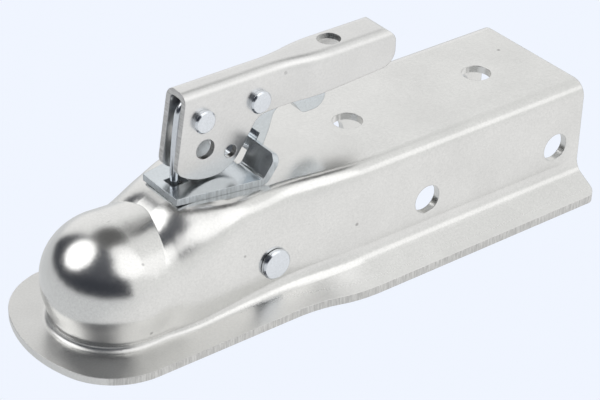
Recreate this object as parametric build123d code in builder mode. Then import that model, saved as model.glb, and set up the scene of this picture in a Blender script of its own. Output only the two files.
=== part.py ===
from build123d import *
import math
import os

os.makedirs("parts", exist_ok=True)

# Trailer coupling head for a straight channel tongue.
# The origin is the centre of the tow ball. +X runs back along the tongue, +Z is up.

# Standard parts that the coupling fits, in millimetres
ball_diameter = 50.8
channel_width = 63.5
channel_clearance = 0.1
bolt_hole_diameter = 13.5

# Pressed body
sheet = 3.4
rear_x = 229.0
nose_x = -41.0
foot_z = -19.7
channel_top = 35.0
channel_shoulder = 7.0
channel_foot = 7.0
channel_flange_slope = 28.5
flange_width = 14.1
flange_corner = 4.0
jog_start = 62.0
jog_end = 104.0
neck_half_width = 29.4
neck_shoulder = 8.5
neck_flange_slope = 13.0
nose_radius = 63.0
nose_corner = 32.0
top_hole_rear = 34.0
top_hole_pitch = 74.0
side_hole_rear = 15.0
side_hole_pitch = 75.5
side_hole_z = 6.7

# Ball dome
ball_headroom = 0.5
dome_radius = 30.4
dome_waist_z = 2.2
dome_belt = 0.6
dome_foot_radius = 26.6
dome_foot_fillet = 2.6
dome_reach = 14.0
barrel_reach = 18.0
barrel_taper = 2.0
wall_blend = 24.0
wall_straight = 0.62

# Pad under the latch plate and the rise from the dome to it
pad_z = 33.6
pad_setback = 0.5
rise_start = 0.0
rise_end = 27.0
rise_start_z = 22.4
rise_shoulder = 25.5
dome_shoulder = 20.0
shoulder_peak = 22.0
shoulder_settled = 48.0
station_count = 14

# Latch plate
plate_thickness = 3.0
plate_front = 23.3
plate_front_half_width = 12.2
plate_taper = 10.8
tab_foot = 61.5
tab_lean = 30.0
tab_height = 11.2
tab_corner = 4.0
plate_bend = 2.2
rod_slot_width = 6.8
rod_slot_front = 27.5
rod_slot_rear = 35.8
nose_slot_width = 7.4
nose_slot_front = 59.6
nose_slot_height = 7.0

# Latch handle, folded from sheet
handle_sheet = 2.7
handle_top = 78.8
hinge_x = 40.2
hinge_height = 28.8
cam_drop = 5.2
cam_clearance = 0.8
handle_front_top = 32.2
handle_front_lean = 8.2
handle_front_half_width = 6.75
handle_rear_half_width = 10.0
flare_start = 74.0
flare_end = 104.0
handle_rear = 137.4
handle_bend = 5.0
handle_low_front = 58.6
handle_low_rear = 62.8
cam_rear_radius = 15.5
cam_rear_angle = 57.0
cam_blend = 8.0
handle_rear_corner = 7.0
handle_front_corner = 5.0
grip_hole_x = 109.0
grip_hole_diameter = 10.3
pin_hole_x = 41.4
pin_hole_z = 51.5
pin_hole_diameter = 9.0
lock_hole_x = 54.0
lock_hole_z = 46.4
lock_hole_diameter = 6.0

# Rivets
rivet_diameter = 8.0
rivet_head_diameter = 10.2
rivet_head_height = 2.5
rivet_head_bevel = 0.8
trigger_rivet_x = 68.1
running_clearance = 0.05

# Pull rod, bent into an eye round the hinge sleeve
rod_diameter = 3.8
rod_x = 30.6
rod_bend_z = 38.0
eye_radius = 7.5
eye_turn = 285.0
rod_end_clearance = 0.3
sleeve_end_clearance = 0.1

# Trigger
trigger_thickness = 6.0
trigger_boss = 8.0
trigger_top = 63.5
lobe_reach = 29.4
lobe_z = 57.6
lobe_radius = 8.2
trigger_underside = 57.4
trigger_foot_z = 40.3
nose_reach = 1.6
nose_top = 42.8
arm_foot = 5.6
arm_waist = 8.6
arm_waist_rise = 7.0
arm_top = 11.8
trigger_gap = 0.4

# Ball clamp and its cross pin
jaw_pin_x = 60.6
jaw_pin_z = 0.9
jaw_pin_diameter = 9.5
jaw_pin_head_diameter = 13.8
jaw_pin_head_height = 2.2
jaw_side_clearance = 1.0
jaw_thickness = 4.0
jaw_web_top = -9.5
jaw_web_rear = 52.0
jaw_grip_clearance = 0.7
jaw_lip_thickness = 4.4
jaw_lip_top = -4.0
jaw_lip_angle = 90.0
jaw_ear_radius = 8.5
jaw_slot_width = 5.4
jaw_slot_rear = 35.5

# Springs, washer and nut
spring_x = 44.0
spring_wire = 2.0
spring_mean_diameter = 10.0
spring_turns = 6.0
return_wire = 0.9
return_mean_diameter = 5.6
return_turns = 4.5
return_x = 88.0
washer_diameter = 10.0
washer_thickness = 1.2
nut_across_flats = 8.0
nut_height = 3.6

# Sizes worked out from the driving dimensions
ball_radius = ball_diameter / 2
channel_half_width = channel_width / 2 + channel_clearance + sheet
dome_top = ball_radius + ball_headroom + sheet
dome_belt_z = dome_waist_z + dome_belt
neck_lip = neck_half_width + flange_width
channel_lip = channel_half_width + flange_width
plate_top = pad_z + plate_thickness
hinge_z = plate_top + hinge_height
web_inner = handle_top - handle_sheet
lobe_x = trigger_rivet_x + lobe_reach
handle_gap = 2 * (handle_front_half_width - handle_sheet)
jaw_half_width = neck_half_width - sheet - jaw_side_clearance


def ease(x, start, end):
    """Smooth step from 0 at start to 1 at end."""
    t = min(max((x - start) / (end - start), 0.0), 1.0)
    return t * t * (3 - 2 * t)


def body_half_width(x):
    """Half of the outside width between the side walls at x."""
    at_dome = (dome_radius - neck_half_width) * (1 - ease(x, 0, dome_reach))
    return neck_half_width + at_dome + (channel_half_width - neck_half_width) * ease(x, jog_start, jog_end)


def wall_lean(x):
    """How far the wall's foot is set in from its waist: as far as the dome's at 0, and not at all behind the blend."""
    return (dome_radius - dome_foot_radius) * (1 - ease(x, 0, wall_blend))


def flange_slope(x):
    """Downward slope of the foot flange, in degrees: flat at the lip, steep along the channel."""
    near_neck = neck_flange_slope * ease(x, 0, jog_start)
    return near_neck + (channel_flange_slope - neck_flange_slope) * ease(x, jog_start - 10, jog_end)


def foot_radius(x):
    """Outside bend radius between the wall and the flange."""
    return dome_foot_fillet + (channel_foot - dome_foot_fillet) * ease(x, 0, jog_end)


def top_height(x):
    """Height of the top: it rises behind the dome to the pad, and again from the pad to the channel."""
    rise = (pad_z + 0.1 - rise_start_z) * ease(x, rise_start, rise_end)
    return rise_start_z + rise + (channel_top - pad_z - 0.1) * ease(x, jog_start, jog_end)


def shoulder_radius(x):
    """Outside bend radius along the top edge, which tightens from the dome to the channel."""
    at_rise = dome_shoulder + (rise_shoulder - dome_shoulder) * ease(x, 0, shoulder_peak)
    at_neck = at_rise + (neck_shoulder - rise_shoulder) * ease(x, shoulder_peak - 5.0, shoulder_settled)
    return at_neck + (channel_shoulder - neck_shoulder) * ease(x, jog_start, jog_end)


def plate_half_width(x):
    """Half of the latch plate's width at x."""
    return plate_front_half_width + (x - plate_front) * math.tan(math.radians(plate_taper))


station_step = jog_end / (station_count - 1)
stations = [station_step * i for i in range(station_count)]
below = 12.0
beside = 8.0


def wall_points(wall, lean, corner):
    """Foot, end of the straight, corner of the curve and waist of a side wall that curves in to its foot."""
    height = dome_waist_z - corner
    middle = (1 + wall_straight) / 2
    return [
        (wall - lean, corner),
        (wall - lean * (1 - wall_straight / middle), corner + wall_straight * height),
        (wall, corner + middle * height),
        (wall, dome_waist_z),
    ]


def wall_outline(x, inset):
    """Closed section of the pressed channel at x, or of its inside when inset is the sheet."""
    slope = math.radians(flange_slope(x))
    wall = body_half_width(x)
    top = top_height(x)
    shoulder = shoulder_radius(x)
    lip = wall + flange_width
    rim = foot_z + sheet / math.cos(slope)
    outer = lip + beside
    shift = inset / math.cos(slope)
    corner = rim + (lip - wall + inset) * math.tan(slope) - shift
    edge = rim - beside * math.tan(slope) - shift
    foot = foot_radius(x) + inset
    right = wall_points(wall - inset, wall_lean(x), corner)
    left = [(-y, z) for y, z in right]
    FilletPolyline((-outer, edge), left[0], left[1], radius=[foot])
    Bezier(*left[1:])
    FilletPolyline(
        left[3],
        (-wall + inset, top - inset),
        (wall - inset, top - inset),
        right[3],
        radius=[shoulder - inset, shoulder - inset],
    )
    Bezier(*right[1:])
    FilletPolyline(right[1], right[0], (outer, edge), radius=[foot])
    Polyline((outer, edge), (outer, foot_z - below), (-outer, foot_z - below), (-outer, edge))


# The neck from the dome to the channel: outside, then the space inside it
with BuildPart() as neck_outside:
    for x in stations:
        with BuildSketch(Plane.YZ.offset(x)):
            with BuildLine():
                wall_outline(x, 0)
            make_face()
    loft()

with BuildPart() as neck_inside:
    for x in stations:
        with BuildSketch(Plane.YZ.offset(x)):
            with BuildLine():
                wall_outline(x, sheet)
            make_face()
    loft()

with BuildPart() as channel_outside:
    with BuildSketch(Plane.YZ.offset(jog_end)):
        with BuildLine():
            wall_outline(jog_end, 0)
        make_face()
    extrude(amount=rear_x - jog_end)

with BuildPart() as channel_inside:
    with BuildSketch(Plane.YZ.offset(jog_end)):
        with BuildLine():
            wall_outline(jog_end, sheet)
        make_face()
    extrude(amount=rear_x - jog_end)


def dome_outline(inset, lip_radius):
    """Half section of the dome on its axis, with its flat lip out to lip_radius."""
    waist = dome_radius - inset
    crown = dome_top - inset
    lip_top = foot_z + sheet - inset
    EllipticalCenterArc((0, dome_belt_z), waist, crown - dome_belt_z, 0, arc_size=90)
    Line((waist, dome_belt_z), (waist, dome_waist_z))
    side = wall_points(waist, dome_radius - dome_foot_radius, lip_top)
    Bezier(*side[1:])
    Line(side[1], side[0])
    Polyline(
        (dome_foot_radius - inset, lip_top),
        (lip_radius, lip_top),
        (lip_radius, foot_z - below),
        (0, foot_z - below),
        (0, crown),
    )


def barrel_outline(x, inset):
    """Closed section of the dome's rear part at x, which narrows backwards inside the neck's walls."""
    half_width = dome_radius - barrel_taper * x / barrel_reach - inset
    height = dome_top - inset - dome_belt_z
    EllipticalCenterArc((0, dome_belt_z), half_width, height, 0, arc_size=180)
    Polyline(
        (-half_width, dome_belt_z),
        (-half_width, dome_waist_z),
        (half_width, dome_waist_z),
        (half_width, dome_belt_z),
    )


def dome_foot(inset):
    """Corner between the dome's side and its lip in the section that is being drawn."""
    lip_top = foot_z + sheet - inset
    corners = vertices().filter_by_position(Axis.X, 1.0, dome_radius)
    return corners.filter_by_position(Axis.Y, lip_top - 0.01, lip_top + 0.01)


# The dome and its lip in front of the ball centre, and the dome behind it as far as the neck
with BuildPart() as dome_outside:
    with BuildSketch(Plane.YZ):
        with BuildLine():
            dome_outline(0, nose_radius)
        make_face()
        fillet(dome_foot(0), dome_foot_fillet)
    revolve(axis=Axis.Z, revolution_arc=180)
    with BuildSketch(Plane.YZ):
        with BuildLine():
            barrel_outline(0, 0)
        make_face()
    with BuildSketch(Plane.YZ.offset(barrel_reach)):
        with BuildLine():
            barrel_outline(barrel_reach, 0)
        make_face()
    loft()

with BuildPart() as dome_inside:
    with BuildSketch(Plane.YZ):
        with BuildLine():
            dome_outline(sheet, nose_radius + beside)
        make_face()
        fillet(dome_foot(sheet), dome_foot_fillet + sheet)
    revolve(axis=Axis.Z, revolution_arc=180)
    with BuildSketch(Plane.YZ):
        with BuildLine():
            barrel_outline(0, sheet)
        make_face()
    with BuildSketch(Plane.YZ.offset(barrel_reach - sheet)):
        with BuildLine():
            barrel_outline(barrel_reach - sheet, sheet)
        make_face()
    loft()

# Plan outline of the pressing, with the squarish nose and the jog in its flange
nose_edge_x = nose_x + nose_radius - math.sqrt(nose_radius**2 - neck_lip**2)
jog_middle = ((jog_start + jog_end) / 2, (neck_lip + channel_lip) / 2)
with BuildPart() as trim:
    with BuildSketch(Plane.XY.offset(foot_z - below / 2)):
        with BuildLine():
            ThreePointArc((nose_edge_x, -neck_lip), (nose_x, 0), (nose_edge_x, neck_lip))
            Line((nose_edge_x, neck_lip), (jog_start, neck_lip))
            TangentArc((jog_start, neck_lip), jog_middle, tangent=(1, 0))
            TangentArc((jog_end, channel_lip), jog_middle, tangent=(-1, 0))
            Polyline((jog_end, channel_lip), (rear_x, channel_lip), (rear_x, -channel_lip), (jog_end, -channel_lip))
            TangentArc((jog_end, -channel_lip), (jog_middle[0], -jog_middle[1]), tangent=(-1, 0))
            TangentArc((jog_start, -neck_lip), (jog_middle[0], -jog_middle[1]), tangent=(1, 0))
            Line((jog_start, -neck_lip), (nose_edge_x, -neck_lip))
        make_face()
        fillet(vertices().group_by(Axis.X)[-1], flange_corner)
        fillet(vertices().group_by(Axis.X)[0], nose_corner)
    extrude(amount=channel_top - foot_z + below)

top_hole_x = rear_x - top_hole_rear - top_hole_pitch / 2
side_hole_x = rear_x - side_hole_rear - side_hole_pitch / 2

with BuildPart() as coupler_body:
    add(neck_outside.part)
    add(dome_outside.part)
    add(channel_outside.part)
    add(trim.part, mode=Mode.INTERSECT)
    add(dome_inside.part, mode=Mode.SUBTRACT)
    add(neck_inside.part, mode=Mode.SUBTRACT)
    add(channel_inside.part, mode=Mode.SUBTRACT)
    # Flat pad for the latch plate
    with BuildSketch(Plane.XY.offset(pad_z)):
        Polygon(
            (plate_front - pad_setback, -plate_half_width(plate_front)),
            (plate_front - pad_setback, plate_half_width(plate_front)),
            (tab_foot, plate_half_width(tab_foot)),
            (tab_foot, -plate_half_width(tab_foot)),
            align=None,
        )
    extrude(amount=channel_top - pad_z, mode=Mode.SUBTRACT)
    # Bolt holes through the top and both walls
    with BuildSketch(Plane.XY.offset(channel_top)):
        with Locations((top_hole_x, 0)):
            with GridLocations(top_hole_pitch, 0, 2, 1):
                Circle(bolt_hole_diameter / 2)
    extrude(amount=-3 * sheet, mode=Mode.SUBTRACT)
    with BuildSketch(Plane.XZ):
        with Locations((side_hole_x, side_hole_z)):
            with GridLocations(side_hole_pitch, 0, 2, 1):
                Circle(bolt_hole_diameter / 2)
        with Locations((jaw_pin_x, jaw_pin_z)):
            Circle(jaw_pin_diameter / 2)
    extrude(amount=2 * channel_half_width, both=True, mode=Mode.SUBTRACT)
    # Slot for the pull rod through the pad
    with BuildSketch(Plane.XY.offset(pad_z)):
        with Locations(((rod_slot_front + rod_slot_rear) / 2, 0)):
            Rectangle(rod_slot_rear - rod_slot_front, rod_slot_width)
    extrude(amount=-3 * sheet, mode=Mode.SUBTRACT)
coupler_body.part.label = "coupler_body"
export_step(coupler_body.part, "parts/coupler_body.step")

# Latch plate: a tapered base with a leaned-back tab, slotted for the rod and the trigger's nose
lean = math.radians(tab_lean)
tab_top_x = tab_foot + tab_height * math.sin(lean)
tab_top_z = plate_top + tab_height * math.cos(lean)
rear_half_width = plate_half_width(tab_foot + tab_height)
with BuildPart() as latch_plate:
    with BuildSketch(Plane.XZ):
        with BuildLine():
            FilletPolyline(
                (plate_front, pad_z),
                (tab_foot + plate_thickness * math.tan((math.pi / 2 - lean) / 2), pad_z),
                (tab_top_x + plate_thickness * math.cos(lean), tab_top_z - plate_thickness * math.sin(lean)),
                radius=[plate_bend + plate_thickness],
            )
            FilletPolyline(
                (plate_front, plate_top),
                (tab_foot, plate_top),
                (tab_top_x, tab_top_z),
                radius=[plate_bend],
            )
            Line((plate_front, pad_z), (plate_front, plate_top))
            Line(
                (tab_top_x + plate_thickness * math.cos(lean), tab_top_z - plate_thickness * math.sin(lean)),
                (tab_top_x, tab_top_z),
            )
        make_face()
    extrude(amount=rear_half_width + 5.0, both=True)
    # Taper in plan
    with BuildSketch(Plane.XY.offset(pad_z - 1.0)):
        Polygon(
            (plate_front, -plate_front_half_width),
            (plate_front, plate_front_half_width),
            (tab_foot + tab_height, rear_half_width),
            (tab_foot + tab_height, -rear_half_width),
            align=None,
        )
    extrude(amount=tab_height + plate_thickness + 2.0, mode=Mode.INTERSECT)
    tab_corners = edges().filter_by(lambda e: e.center().Z > plate_top + tab_height / 2)
    tab_corners = tab_corners.filter_by(lambda e: abs(e.length - plate_thickness) < 0.3)
    fillet(tab_corners, tab_corner)
    # Rod slot
    with BuildSketch(Plane.XY.offset(plate_top)):
        with Locations(((rod_slot_front + rod_slot_rear) / 2, 0)):
            Rectangle(rod_slot_rear - rod_slot_front, rod_slot_width)
    extrude(amount=-2 * plate_thickness, mode=Mode.SUBTRACT)
    # Nose slot, cut from the flat up into the tab
    nose_slot_top = plate_top + nose_slot_height
    with BuildSketch(Plane.YZ.offset(nose_slot_front)):
        with Locations((0, (pad_z - 1.0 + nose_slot_top) / 2)):
            Rectangle(nose_slot_width, nose_slot_top - pad_z + 1.0)
    extrude(amount=tab_height + 4 * plate_thickness, mode=Mode.SUBTRACT)
latch_plate.part.label = "latch_plate"
export_step(latch_plate.part, "parts/latch_plate.step")


def cam_point(turn):
    """Point of the cam edge that meets the plate when the handle has turned by turn radians."""
    reach = hinge_height - cam_clearance - cam_drop * turn
    x = hinge_x - reach * math.sin(turn) + cam_drop * math.cos(turn)
    z = hinge_z - reach * math.cos(turn) - cam_drop * math.sin(turn)
    return (x, z)


def front_edge_x(z):
    """Front edge of the handle's flanges at height z."""
    return handle_front_top - (handle_top - z) * math.tan(math.radians(handle_front_lean))


# The cam ends where it reaches the front edge
cam_turn = 0.0
while cam_point(cam_turn)[0] > front_edge_x(cam_point(cam_turn)[1]):
    cam_turn += 0.005
cam_steps = 8
cam_edge = [cam_point(cam_turn * i / cam_steps) for i in range(cam_steps + 1)]
cam_angle = math.radians(cam_rear_angle)
cam_rear = (
    cam_edge[0][0] + cam_rear_radius * math.sin(cam_angle),
    cam_edge[0][1] + cam_rear_radius * (1 - math.cos(cam_angle)),
)
cam_corner_x = cam_rear[0] + (handle_low_front - cam_rear[1]) / math.tan(cam_angle)


def handle_plan(inset):
    """Plan outline of the handle: narrow at the hinge and wide at the grip."""
    front = handle_front_half_width - inset
    rear = handle_rear_half_width - inset
    middle = ((flare_start + flare_end) / 2, (front + rear) / 2)
    Polyline((flare_start, -front), (0, -front), (0, front), (flare_start, front))
    TangentArc((flare_start, front), middle, tangent=(1, 0))
    TangentArc((flare_end, rear), middle, tangent=(-1, 0))
    Polyline((flare_end, rear), (handle_rear + 5.0, rear), (handle_rear + 5.0, -rear), (flare_end, -rear))
    TangentArc((flare_end, -rear), (middle[0], -middle[1]), tangent=(-1, 0))
    TangentArc((flare_start, -front), (middle[0], -middle[1]), tangent=(1, 0))


with BuildPart() as handle_space:
    with BuildSketch(Plane.XY.offset(plate_top - 5.0)):
        with BuildLine():
            handle_plan(handle_sheet)
        make_face()
    extrude(amount=web_inner - plate_top + 5.0)
    fillet(edges().group_by(Axis.Z)[-1].filter_by(lambda e: abs(e.center().Y) > 1.0), handle_bend - handle_sheet)

with BuildPart() as handle_side:
    with BuildSketch(Plane.XZ):
        with BuildLine():
            Polyline((handle_rear, handle_low_rear), (handle_rear, handle_top), (handle_front_top, handle_top), cam_edge[-1])
            Spline(*cam_edge)
            RadiusArc(cam_rear, cam_edge[0], cam_rear_radius)
            FilletPolyline(
                cam_rear,
                (cam_corner_x, handle_low_front),
                (handle_rear, handle_low_rear),
                radius=[cam_blend],
            )
        make_face()
        fillet(vertices().group_by(Axis.X)[-1].sort_by(Axis.Y)[0], handle_rear_corner)
        fillet(vertices().group_by(Axis.X)[-1].sort_by(Axis.Y)[-1], handle_bend)
        fillet(vertices().sort_by_distance(cam_edge[-1])[0], handle_front_corner)
    extrude(amount=handle_rear_half_width + 1.0, both=True)

with BuildPart() as latch_handle:
    with BuildSketch(Plane.XY.offset(plate_top - 5.0)):
        with BuildLine():
            handle_plan(0)
        make_face()
    extrude(amount=handle_top - plate_top + 5.0)
    fillet(edges().group_by(Axis.Z)[-1].filter_by(lambda e: abs(e.center().Y) > 1.0), handle_bend)
    add(handle_side.part, mode=Mode.INTERSECT)
    add(handle_space.part, mode=Mode.SUBTRACT)
    with BuildSketch(Plane.XZ):
        with Locations((hinge_x, hinge_z), (trigger_rivet_x, hinge_z)):
            Circle(rivet_diameter / 2)
        with Locations((pin_hole_x, pin_hole_z)):
            Circle(pin_hole_diameter / 2)
        with Locations((lock_hole_x, lock_hole_z)):
            Circle(lock_hole_diameter / 2)
    extrude(amount=handle_rear_half_width, both=True, mode=Mode.SUBTRACT)
    with BuildSketch(Plane.XY.offset(handle_top)):
        with Locations((grip_hole_x, 0)):
            Circle(grip_hole_diameter / 2)
    extrude(amount=-3 * handle_sheet, mode=Mode.SUBTRACT)
latch_handle.part.label = "latch_handle"
export_step(latch_handle.part, "parts/latch_handle.step")


def rivet_outline(shank_radius, head_radius, head_height, bevel, half_grip):
    """Half section of a rivet with two equal bevelled heads, on its axis."""
    Polyline(
        (0, -half_grip - head_height),
        (head_radius - bevel, -half_grip - head_height),
        (head_radius, -half_grip - head_height + bevel),
        (head_radius, -half_grip),
        (shank_radius, -half_grip),
        (shank_radius, half_grip),
        (head_radius, half_grip),
        (head_radius, half_grip + head_height - bevel),
        (head_radius - bevel, half_grip + head_height),
        (0, half_grip + head_height),
        (0, -half_grip - head_height),
    )


def rivet_plane(x, z):
    """Plane whose local Y runs along a rivet that crosses the part at x, z."""
    return Plane(origin=(x, 0, z), x_dir=(1, 0, 0), z_dir=(0, 0, 1))


with BuildPart() as handle_rivet:
    with BuildSketch(rivet_plane(hinge_x, hinge_z)):
        with BuildLine():
            rivet_outline(
                rivet_diameter / 2,
                rivet_head_diameter / 2,
                rivet_head_height,
                rivet_head_bevel,
                handle_front_half_width,
            )
        make_face()
    revolve(axis=Axis((hinge_x, 0, hinge_z), (0, 1, 0)))
handle_rivet.part.label = "handle_rivet"
export_step(handle_rivet.part, "parts/handle_rivet.step")

with BuildPart() as trigger_rivet:
    with BuildSketch(rivet_plane(trigger_rivet_x, hinge_z)):
        with BuildLine():
            rivet_outline(
                rivet_diameter / 2,
                rivet_head_diameter / 2,
                rivet_head_height,
                rivet_head_bevel,
                handle_front_half_width,
            )
        make_face()
    revolve(axis=Axis((trigger_rivet_x, 0, hinge_z), (0, 1, 0)))
trigger_rivet.part.label = "trigger_rivet"
export_step(trigger_rivet.part, "parts/trigger_rivet.step")

# Sleeve that the eye of the rod turns on, trapped between the handle's flanges
sleeve_radius = eye_radius - rod_diameter / 2 - running_clearance
with BuildPart() as spacer_sleeve:
    with BuildSketch(Plane.XZ):
        with Locations((hinge_x, hinge_z)):
            Circle(sleeve_radius)
            Circle(rivet_diameter / 2 + running_clearance, mode=Mode.SUBTRACT)
    extrude(amount=handle_gap / 2 - sleeve_end_clearance, both=True)
spacer_sleeve.part.label = "spacer_sleeve"
export_step(spacer_sleeve.part, "parts/spacer_sleeve.step")

# Pull rod: its shank down through the jaw to the nut, and above it a long bend into the eye round the sleeve
rod_low_z = foot_z + rod_end_clearance
eye_offset = hinge_x - rod_x
eye_rise = hinge_z - rod_bend_z
rod_bend_radius = (eye_offset**2 + eye_rise**2 - eye_radius**2) / (2 * (eye_offset - eye_radius))
eye_start_angle = 180 - math.degrees(math.asin(eye_rise / (rod_bend_radius - eye_radius)))
eye_start = (
    hinge_x + eye_radius * math.cos(math.radians(eye_start_angle)),
    hinge_z + eye_radius * math.sin(math.radians(eye_start_angle)),
)
with BuildPart() as eye_rod:
    with BuildLine(Plane.XZ):
        Line((rod_x, rod_low_z), (rod_x, rod_bend_z))
        RadiusArc((rod_x, rod_bend_z), eye_start, rod_bend_radius)
        CenterArc((hinge_x, hinge_z), eye_radius, eye_start_angle, -eye_turn)
    with BuildSketch(Plane.XY.offset(rod_low_z)):
        with Locations((rod_x, 0)):
            Circle(rod_diameter / 2)
    sweep()
    chamfer(edges().group_by(Axis.Z)[0], 0.5)
eye_rod.part.label = "eye_rod"
export_step(eye_rod.part, "parts/eye_rod.step")

# Trigger: boss on its rivet, finger lobe behind, arm behind the tab and nose in the tab's slot
tab_back_x = tab_foot + (plate_thickness + trigger_gap) / math.cos(lean)


def behind_tab(z):
    """X of a line that runs just behind the tab at height z."""
    return tab_back_x + (z - plate_top) * math.tan(lean)


nose_low_x = behind_tab(trigger_foot_z) - nose_reach
with BuildPart() as trigger:
    with BuildSketch(Plane.XZ):
        with BuildLine():
            Polyline(
                (trigger_rivet_x - trigger_boss, hinge_z),
                (trigger_rivet_x - trigger_boss + 0.6, hinge_z - trigger_boss),
                (behind_tab(tab_top_z + 1.0), tab_top_z + 1.0),
                (behind_tab(nose_top + 0.6), nose_top + 0.6),
                (nose_low_x + 1.0, trigger_foot_z + 1.2),
                (nose_low_x, trigger_foot_z),
            )
            FilletPolyline(
                (nose_low_x, trigger_foot_z),
                (behind_tab(trigger_foot_z) + arm_foot, trigger_foot_z),
                (behind_tab(trigger_foot_z) + arm_waist, trigger_foot_z + arm_waist_rise),
                (behind_tab(trigger_foot_z) + arm_top, trigger_underside),
                (lobe_x - 1.2 * lobe_radius, trigger_underside),
                (lobe_x - 0.45 * lobe_radius, lobe_z - lobe_radius),
                (lobe_x + lobe_radius, lobe_z - lobe_radius),
                (lobe_x + lobe_radius, trigger_top),
                (trigger_rivet_x + trigger_boss, trigger_top),
                radius=[1.5, 6.0, 6.0, 4.0, 4.0, 6.0, 2.0],
            )
            Polyline(
                (trigger_rivet_x + trigger_boss, trigger_top),
                (trigger_rivet_x, trigger_top),
                (trigger_rivet_x - trigger_boss, hinge_z),
            )
        make_face()
        with Locations((trigger_rivet_x, hinge_z)):
            Circle(trigger_boss)
            Circle(rivet_diameter / 2 + running_clearance, mode=Mode.SUBTRACT)
    extrude(amount=trigger_thickness / 2, both=True)
trigger.part.label = "trigger"
export_step(trigger.part, "parts/trigger.step")


def coil_spring(x, y, low, high, mean_diameter, wire, turns):
    """Compression spring along Z between two flat seats, with its wire swept on a helix."""
    path = Wire([Helix(pitch=(high - low - wire) / turns, height=high - low - wire, radius=mean_diameter / 2)])
    path = path.locate(Location((x, y, low + wire / 2)))
    section = Plane(origin=path @ 0, z_dir=path % 0)
    with BuildSketch(section) as wire_section:
        RegularPolygon(wire / 2, 8)
    sweep(wire_section.sketch, path=path, is_frenet=True)


# Cross pin of the jaw, through both walls of the neck
with BuildPart() as jaw_pin:
    with BuildSketch(rivet_plane(jaw_pin_x, jaw_pin_z)):
        with BuildLine():
            rivet_outline(
                jaw_pin_diameter / 2,
                jaw_pin_head_diameter / 2,
                jaw_pin_head_height,
                rivet_head_bevel,
                body_half_width(jaw_pin_x + jaw_pin_head_diameter / 2),
            )
        make_face()
    revolve(axis=Axis((jaw_pin_x, 0, jaw_pin_z), (0, 1, 0)))
jaw_pin.part.label = "jaw_pin"
export_step(jaw_pin.part, "parts/jaw_pin.step")

# Jaw: a web under the neck, a lip that hugs the ball and two ears on the cross pin
jaw_web_low = jaw_web_top - jaw_thickness
lip_inner = ball_radius + jaw_grip_clearance
lip_outer = lip_inner + jaw_lip_thickness
with BuildPart() as jaw:
    with BuildSketch(Plane.XY.offset(jaw_web_low)):
        with Locations(((lip_inner + jaw_web_rear) / 2 - 4.0, 0)):
            Rectangle(jaw_web_rear - lip_inner + 8.0, 2 * jaw_half_width)
    extrude(amount=jaw_thickness)
    with BuildSketch(Plane.XZ):
        with BuildLine():
            Polyline(
                (lip_inner, jaw_web_low),
                (jaw_web_rear, jaw_web_low),
                (jaw_pin_x + jaw_ear_radius, jaw_pin_z),
                (jaw_pin_x, jaw_pin_z + jaw_ear_radius),
                (lip_outer, jaw_web_top + jaw_thickness),
                (lip_inner, jaw_web_top),
                (lip_inner, jaw_web_low),
            )
        make_face()
        with Locations((jaw_pin_x, jaw_pin_z)):
            Circle(jaw_ear_radius)
    extrude(amount=jaw_half_width, both=True)
    # Space between the ears, behind the lip
    with BuildSketch(Plane.XY.offset(jaw_web_top)):
        with Locations((lip_outer + jaw_pin_x, 0)):
            Rectangle(2 * jaw_pin_x, 2 * (jaw_half_width - jaw_thickness))
    extrude(amount=jaw_pin_x, mode=Mode.SUBTRACT)
    with BuildSketch(Plane.XZ):
        with BuildLine():
            Polyline((0, jaw_lip_top), (lip_outer, jaw_lip_top), (lip_outer, jaw_web_low), (0, jaw_web_low), close=True)
        make_face()
        Circle(lip_outer, mode=Mode.INTERSECT)
    revolve(axis=Axis.Z, revolution_arc=jaw_lip_angle / 2)
    with BuildSketch(Plane.XZ):
        with BuildLine():
            Polyline((0, jaw_lip_top), (lip_outer, jaw_lip_top), (lip_outer, jaw_web_low), (0, jaw_web_low), close=True)
        make_face()
        Circle(lip_outer, mode=Mode.INTERSECT)
    revolve(axis=Axis.Z, revolution_arc=-jaw_lip_angle / 2)
    Sphere(lip_inner, mode=Mode.SUBTRACT)
    with BuildSketch(Plane.XZ):
        with Locations((jaw_pin_x, jaw_pin_z)):
            Circle(jaw_pin_diameter / 2 + running_clearance)
    extrude(amount=2 * jaw_half_width, both=True, mode=Mode.SUBTRACT)
    # Slot that lets the rod through, open at the ball
    with BuildSketch(Plane.XY.offset(jaw_web_low - 1.0)):
        with Locations((jaw_slot_rear / 2, 0)):
            SlotOverall(jaw_slot_rear, jaw_slot_width)
    extrude(amount=jaw_lip_top - jaw_web_low + 2.0, mode=Mode.SUBTRACT)
jaw.part.label = "jaw"
export_step(jaw.part, "parts/jaw.step")

# Washer and nut that hold the jaw up on the rod
washer_top = jaw_web_low
with BuildPart() as rod_washer:
    with BuildSketch(Plane.XY.offset(washer_top)):
        with Locations((rod_x, 0)):
            Circle(washer_diameter / 2)
            Circle(rod_diameter / 2 + running_clearance, mode=Mode.SUBTRACT)
    extrude(amount=-washer_thickness)
rod_washer.part.label = "rod_washer"
export_step(rod_washer.part, "parts/rod_washer.step")

with BuildPart() as rod_nut:
    with BuildSketch(Plane.XY.offset(washer_top - washer_thickness)):
        with Locations((rod_x, 0)):
            RegularPolygon(nut_across_flats / 2, 6, major_radius=False)
            Circle(rod_diameter / 2, mode=Mode.SUBTRACT)
    extrude(amount=-nut_height)
rod_nut.part.label = "rod_nut"
export_step(rod_nut.part, "parts/rod_nut.step")

# Spring that opens the jaw, and spring that keeps the trigger locked
with BuildPart() as jaw_spring:
    coil_spring(spring_x, 0, jaw_web_top, pad_z - sheet, spring_mean_diameter, spring_wire, spring_turns)
jaw_spring.part.label = "jaw_spring"
export_step(jaw_spring.part, "parts/jaw_spring.step")

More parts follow.
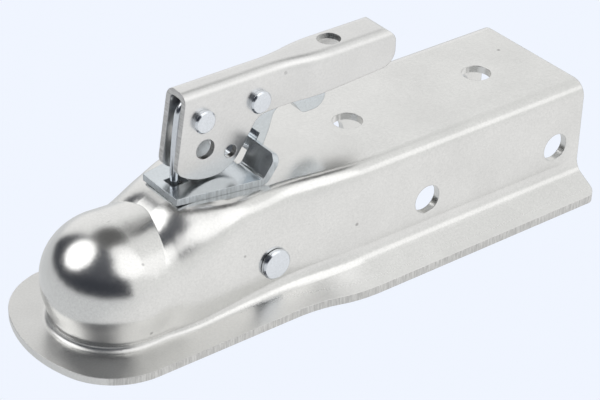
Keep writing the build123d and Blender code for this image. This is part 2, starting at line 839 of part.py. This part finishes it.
with BuildPart() as trigger_spring:
    coil_spring(return_x, 0, trigger_top, web_inner, return_mean_diameter, return_wire, return_turns)
trigger_spring.part.label = "trigger_spring"
export_step(trigger_spring.part, "parts/trigger_spring.step")
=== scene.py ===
import math

import bpy
from mathutils import Matrix, Vector

# Looks of a zinc plated trailer coupling head, around its CAD frame. Lengths are in metres.

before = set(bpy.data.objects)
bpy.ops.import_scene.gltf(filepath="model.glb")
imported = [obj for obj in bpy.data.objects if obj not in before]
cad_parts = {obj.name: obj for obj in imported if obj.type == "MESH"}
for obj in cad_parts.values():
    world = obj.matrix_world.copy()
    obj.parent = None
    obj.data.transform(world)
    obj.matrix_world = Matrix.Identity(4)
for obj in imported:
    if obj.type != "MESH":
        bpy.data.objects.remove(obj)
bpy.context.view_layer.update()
scene = bpy.context.scene

# Camera, found from the photo's straight edges and holes. Angles are in degrees.
camera_azimuth = -38.203
camera_elevation = 32.617
camera_roll = 1.693
camera_distance = 0.9153
camera_target = Vector((0.114, 0.0, 0.0))
camera_shift_right = 0.01405
camera_shift_up = 0.00261
focal_pixels = 2084.23
picture_width = 600
sensor_width = 36.0
nearest_seen = 0.05
farthest_seen = 20.0

# Tint of the zinc: broad clouds and fine grain, each as a share of the colour
cloud_scale = 35.0
cloud_detail = 4.0
cloud_depth = 0.04
grain_scale = 1100.0
grain_detail = 3.0
grain_depth = 0.05
noise_roughness = 0.6
noise_ends = (0.3, 0.7)

# Relief and roughness of the grain
grain_height = 0.00003
grain_strength = 0.3
grain_dullness = 0.04

# Dark specks: cells of the pattern, the share of cells that have one, its radius and its tint
speck_scale = 110.0
speck_share = (0.93, 0.95)
speck_radius = (0.06, 0.11)
speck_level = 0.6

# Cut edges of the sheet: dull, with darker streaks across the sheet's thickness
streak_scale = 1300.0
streak_detail = 2.0
streak_ends = (0.35, 0.65)
streak_depth = 0.25
streak_stretch = 0.12
cut_dullness = 0.25

# Rounding of every sharp edge, in the shading only
edge_radius = 0.0005
edge_samples = 6

# Parts of a face's direction between which it passes from level to upright, and from level to leaning
upright_ends = (0.3, 0.4)
level_ends = (0.5, 0.6)

# Foot flange of the body: height of its top, height of its rim, and how far out the rim starts
flange_height = -0.0125
flange_fade = 0.003
flange_dullness = 0.13
rim_height = -0.0155
rim_height_fade = 0.0005
rim_side = 0.036
rim_side_fade = 0.001

# Fuller shoulders on the neck behind the dome, in the shading only: where they begin and end, and their lean
neck_front = (0.012, 0.032)
neck_back = (0.040, 0.066)
neck_rise = (0.004, 0.016)
neck_lift = 0.2

# Flat backdrop that the camera sees
backdrop = (0.871, 0.914, 1.0)

# Pale room with a dark side, found from what the photo's metal reflects
studio_room = (0.93, 0.935, 0.93)
floor_far = (0.71, 0.725, 0.74)
floor_bright = (0.965, 0.965, 0.965)
floor_centre = (-45.0, -35.0)
floor_fade = (0.0, 0.95)
studio_dark = (0.036, 0.040, 0.052)
studio_side_top = (0.085, 0.09, 0.105)
horizon = (-0.02, 0.15)
side_azimuth = 180.0
side_edge = (0.0, 0.14)
side_fade = (0.45, 0.75)

# Round patches in the room, later ones over earlier ones: azimuth, elevation, inner and outer radius in
# degrees, and level. A bright wall and a dark opening come first, then four softboxes.
studio_patches = [
    (68.0, 18.0, 14.0, 28.0, 1.02),
    (66.0, 68.0, 13.0, 26.0, 0.11),
    (139.0, 47.0, 19.0, 25.0, 1.9),
    (-60.0, 76.0, 9.0, 18.0, 1.25),
    (-50.0, 36.0, 10.0, 17.0, 1.25),
    (-78.0, 56.0, 18.0, 25.0, 1.45),
]


def camera_axes():
    """Right, up and back directions of the camera."""
    a = math.radians(camera_azimuth)
    e = math.radians(camera_elevation)
    r = math.radians(camera_roll)
    back = Vector((math.sin(a) * math.cos(e), -math.cos(a) * math.cos(e), math.sin(e)))
    right = Vector((math.cos(a), math.sin(a), 0.0))
    up = back.cross(right)
    return math.cos(r) * right + math.sin(r) * up, math.cos(r) * up - math.sin(r) * right, back


def add_camera():
    """Camera at the photo's viewpoint."""
    right, up, back = camera_axes()
    data = bpy.data.cameras.new("photo_camera")
    data.sensor_width = sensor_width
    data.lens = focal_pixels / picture_width * sensor_width
    data.clip_start = nearest_seen
    data.clip_end = farthest_seen
    camera = bpy.data.objects.new("photo_camera", data)
    place = camera_target + back * camera_distance - right * camera_shift_right - up * camera_shift_up
    turn = Matrix((right, up, back)).transposed().to_4x4()
    camera.matrix_world = Matrix.Translation(place) @ turn
    scene.collection.objects.link(camera)
    scene.camera = camera


class Nodes:
    """Adds nodes to an emptied node tree. An input is a number, a vector or another node's output."""

    def __init__(self, tree):
        tree.nodes.clear()
        self.tree = tree

    def add(self, kind, inputs=None, **settings):
        """One node, with its inputs and its settings."""
        node = self.tree.nodes.new(kind)
        for name, value in settings.items():
            setattr(node, name, value)
        for name, value in (inputs or {}).items():
            if isinstance(value, bpy.types.NodeSocket):
                self.tree.links.new(value, node.inputs[name])
            else:
                node.inputs[name].default_value = value
        return node

    def math(self, operation, first, second=0.0):
        """One or two numbers, put through an operation."""
        return self.add("ShaderNodeMath", {0: first, 1: second}, operation=operation).outputs["Value"]

    def product(self, first, *others):
        """Numbers multiplied."""
        for other in others:
            first = self.math("MULTIPLY", first, other)
        return first

    def vectors(self, operation, first, second=(0.0, 0.0, 0.0)):
        """One or two vectors, put through an operation that gives a vector."""
        ends = {0: first, 1: second}
        return self.add("ShaderNodeVectorMath", ends, operation=operation).outputs["Vector"]

    def split(self, vector):
        """The three numbers of a vector, by their names X, Y and Z."""
        return self.add("ShaderNodeSeparateXYZ", {"Vector": vector}).outputs

    def ramp(self, value, ends, at_low=0.0, at_high=1.0, kind="LINEAR"):
        """Passes from at_low to at_high while a value goes from the first end to the second."""
        low, high = ends
        inputs = {"Value": value, "From Min": low, "From Max": high, "To Min": at_low, "To Max": at_high}
        return self.add("ShaderNodeMapRange", inputs, interpolation_type=kind).outputs["Result"]

    def fade(self, value, ends):
        """Passes smoothly from 0 to 1 while a value goes from the first end to the second."""
        return self.ramp(value, ends, kind="SMOOTHSTEP")

    def noise(self, vector, scale, detail):
        """Soft noise from 0 to 1."""
        inputs = {"Vector": vector, "Scale": scale, "Detail": detail, "Roughness": noise_roughness}
        return self.add("ShaderNodeTexNoise", inputs).outputs["Fac"]


def around(level, depth):
    """The two values at a depth under and over a level."""
    return level - depth, level + depth


def plated_tint(nodes, place, grain):
    """Share of the zinc's colour at a place: clouds, grain and a few dark specks."""
    clouds = nodes.ramp(nodes.noise(place, cloud_scale, cloud_detail), noise_ends, *around(1.0, cloud_depth))
    grains = nodes.ramp(grain, noise_ends, *around(1.0, grain_depth))
    cells = nodes.add("ShaderNodeTexVoronoi", {"Vector": place, "Scale": speck_scale}).outputs
    picked = nodes.add("ShaderNodeSeparateColor", {"Color": cells["Color"]}).outputs["Red"]
    speck = nodes.product(
        nodes.ramp(cells["Distance"], speck_radius, 1.0, 0.0), nodes.ramp(picked, speck_share)
    )
    return nodes.product(clouds, grains, nodes.ramp(speck, (0.0, 1.0), 1.0, speck_level))


def face_direction(nodes):
    """Direction that a flat face looks in, in the object's own frame."""
    normal = nodes.add("ShaderNodeNewGeometry").outputs["True Normal"]
    turned = nodes.add(
        "ShaderNodeVectorTransform",
        {"Vector": normal},
        vector_type="NORMAL",
        convert_from="WORLD",
        convert_to="OBJECT",
    )
    return nodes.split(turned.outputs["Vector"])


def upright_mask(nodes, share):
    """1 where a direction has little of one axis."""
    return nodes.ramp(nodes.math("ABSOLUTE", share), upright_ends, 1.0, 0.0)


def plate_edges(nodes, facing, spot):
    """Cut edges of the latch plate, and the way their streaks run."""
    return upright_mask(nodes, facing["Z"]), (1.0, 1.0, streak_stretch)


def handle_edges(nodes, facing, spot):
    """Cut edges of the folded handle, which look neither sideways nor up, and the way their streaks run."""
    under = nodes.ramp(facing["Z"], level_ends, 1.0, 0.0)
    return nodes.product(upright_mask(nodes, facing["Y"]), under), (1.0, streak_stretch, 1.0)


def body_edges(nodes, facing, spot):
    """Upright rim of the body's foot flange, and the way its streaks run."""
    low = nodes.ramp(spot["Z"], (rim_height - rim_height_fade, rim_height), 1.0, 0.0)
    outside = nodes.ramp(nodes.math("ABSOLUTE", spot["Y"]), (rim_side, rim_side + rim_side_fade))
    return nodes.product(upright_mask(nodes, facing["Z"]), low, outside), (1.0, 1.0, streak_stretch)


def neck_swell(nodes, spot):
    """How far the normals lean up on the neck's shoulders."""
    behind_dome = nodes.ramp(spot["X"], neck_front)
    before_channel = nodes.ramp(spot["X"], neck_back, 1.0, 0.0)
    return nodes.product(behind_dome, before_channel, nodes.ramp(spot["Z"], neck_rise), neck_lift)


def zinc(name, colour, roughness, cut_edges=None, is_body=False):
    """Bright zinc plate, with dull streaks where cut_edges says, and with the body's own flange and neck."""
    material = bpy.data.materials.new(name)
    material.use_nodes = True
    nodes = Nodes(material.node_tree)
    place = nodes.add("ShaderNodeTexCoord").outputs["Object"]
    spot = nodes.split(place)
    grain = nodes.noise(place, grain_scale, grain_detail)
    tint = plated_tint(nodes, place, grain)
    dull = nodes.ramp(grain, noise_ends, roughness, roughness + grain_dullness)
    normal = nodes.add("ShaderNodeBevel", {"Radius": edge_radius}, samples=edge_samples).outputs["Normal"]
    if is_body:
        foot = nodes.ramp(spot["Z"], (flange_height - flange_fade, flange_height), 1.0, 0.0)
        dull = nodes.math("ADD", dull, nodes.product(foot, flange_dullness))
        lift = nodes.add("ShaderNodeCombineXYZ", {"Z": neck_swell(nodes, spot)}).outputs["Vector"]
        normal = nodes.vectors("NORMALIZE", nodes.vectors("ADD", normal, lift))
    if cut_edges:
        mask, stretch = cut_edges(nodes, face_direction(nodes), spot)
        streak = nodes.noise(nodes.vectors("MULTIPLY", place, stretch), streak_scale, streak_detail)
        darker = nodes.product(mask, nodes.ramp(streak, streak_ends, 0.0, streak_depth))
        tint = nodes.product(tint, nodes.math("SUBTRACT", 1.0, darker))
        dull = nodes.math("ADD", dull, nodes.product(mask, cut_dullness))
    tinted = {"Factor": 1.0, 6: (*colour, 1.0), 7: tint}
    shade = nodes.add("ShaderNodeMix", tinted, data_type="RGBA", blend_type="MULTIPLY").outputs[2]
    relief = {"Height": grain, "Strength": grain_strength, "Distance": grain_height, "Normal": normal}
    bumped = nodes.add("ShaderNodeBump", relief).outputs["Normal"]
    metal = {"Base Color": shade, "Metallic": 1.0, "Roughness": dull, "Normal": bumped}
    shader = nodes.add("ShaderNodeBsdfPrincipled", metal).outputs["BSDF"]
    nodes.add("ShaderNodeOutputMaterial", {"Surface": shader})
    return material


def dress(node, material):
    """Gives a CAD node one material."""
    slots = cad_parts[node].data.materials
    slots.clear()
    slots.append(material)


def direction(azimuth, elevation):
    """Unit vector towards an azimuth from +X and an elevation, both in degrees."""
    a = math.radians(azimuth)
    e = math.radians(elevation)
    return math.cos(a) * math.cos(e), math.sin(a) * math.cos(e), math.sin(e)


def room_colour(nodes):
    """Colour of the studio in each direction."""
    towards = nodes.add("ShaderNodeTexCoord").outputs["Generated"]
    height = nodes.split(towards)["Z"]

    def closeness(azimuth, elevation):
        """Cosine of the angle to a direction."""
        ends = {0: towards, 1: direction(azimuth, elevation)}
        return nodes.add("ShaderNodeVectorMath", ends, operation="DOT_PRODUCT").outputs["Value"]

    def over(mask, colour, under):
        """Colour over another one, where the mask is 1."""
        return nodes.add("ShaderNodeMix", {"Factor": mask, 6: under, 7: colour}, data_type="RGBA").outputs[2]

    above = nodes.fade(height, horizon)
    floor_mask = nodes.fade(closeness(*floor_centre), floor_fade)
    colour = over(above, (*studio_room, 1.0), over(floor_mask, (*floor_bright, 1.0), (*floor_far, 1.0)))
    side_colour = over(nodes.fade(height, side_fade), (*studio_side_top, 1.0), (*studio_dark, 1.0))
    side_mask = nodes.product(nodes.fade(closeness(side_azimuth, 0.0), side_edge), above)
    colour = over(side_mask, side_colour, colour)
    for azimuth, elevation, inner, outer, level in studio_patches:
        edge = (math.cos(math.radians(outer)), math.cos(math.radians(inner)))
        colour = over(nodes.fade(closeness(azimuth, elevation), edge), (level, level, level, 1.0), colour)
    return colour


def build_world():
    """Studio seen by reflections and diffuse light, behind a flat backdrop for camera rays."""
    world = bpy.data.worlds.new("studio")
    scene.world = world
    world.use_nodes = True
    nodes = Nodes(world.node_tree)
    studio = nodes.add("ShaderNodeBackground", {"Color": room_colour(nodes)}).outputs["Background"]
    seen = nodes.add("ShaderNodeBackground", {"Color": (*backdrop, 1.0)}).outputs["Background"]
    by_camera = nodes.add("ShaderNodeLightPath").outputs["Is Camera Ray"]
    both = nodes.add("ShaderNodeMixShader", {0: by_camera, 1: studio, 2: seen}).outputs["Shader"]
    nodes.add("ShaderNodeOutputWorld", {"Surface": both})


build_world()

body_zinc = zinc("body_zinc", (0.73, 0.728, 0.715), 0.19, body_edges, is_body=True)
handle_zinc = zinc("handle_zinc", (0.73, 0.728, 0.72), 0.29, handle_edges)
plate_zinc = zinc("plate_zinc", (0.66, 0.70, 0.73), 0.20, plate_edges)
latch_zinc = zinc("latch_zinc", (0.66, 0.70, 0.73), 0.17)
rivet_zinc = zinc("rivet_zinc", (0.72, 0.75, 0.79), 0.16)
spring_steel = zinc("spring_steel", (0.42, 0.42, 0.43), 0.3)

dress("coupler_body", body_zinc)
dress("latch_handle", handle_zinc)
dress("latch_plate", plate_zinc)
for node in ("trigger", "jaw"):
    dress(node, latch_zinc)
for node in ("handle_rivet", "trigger_rivet", "spacer_sleeve", "eye_rod", "rod_washer", "rod_nut", "jaw_pin"):
    dress(node, rivet_zinc)
for node in ("jaw_spring", "trigger_spring"):
    dress(node, spring_steel)

add_camera()
scene.view_settings.view_transform = "Standard"
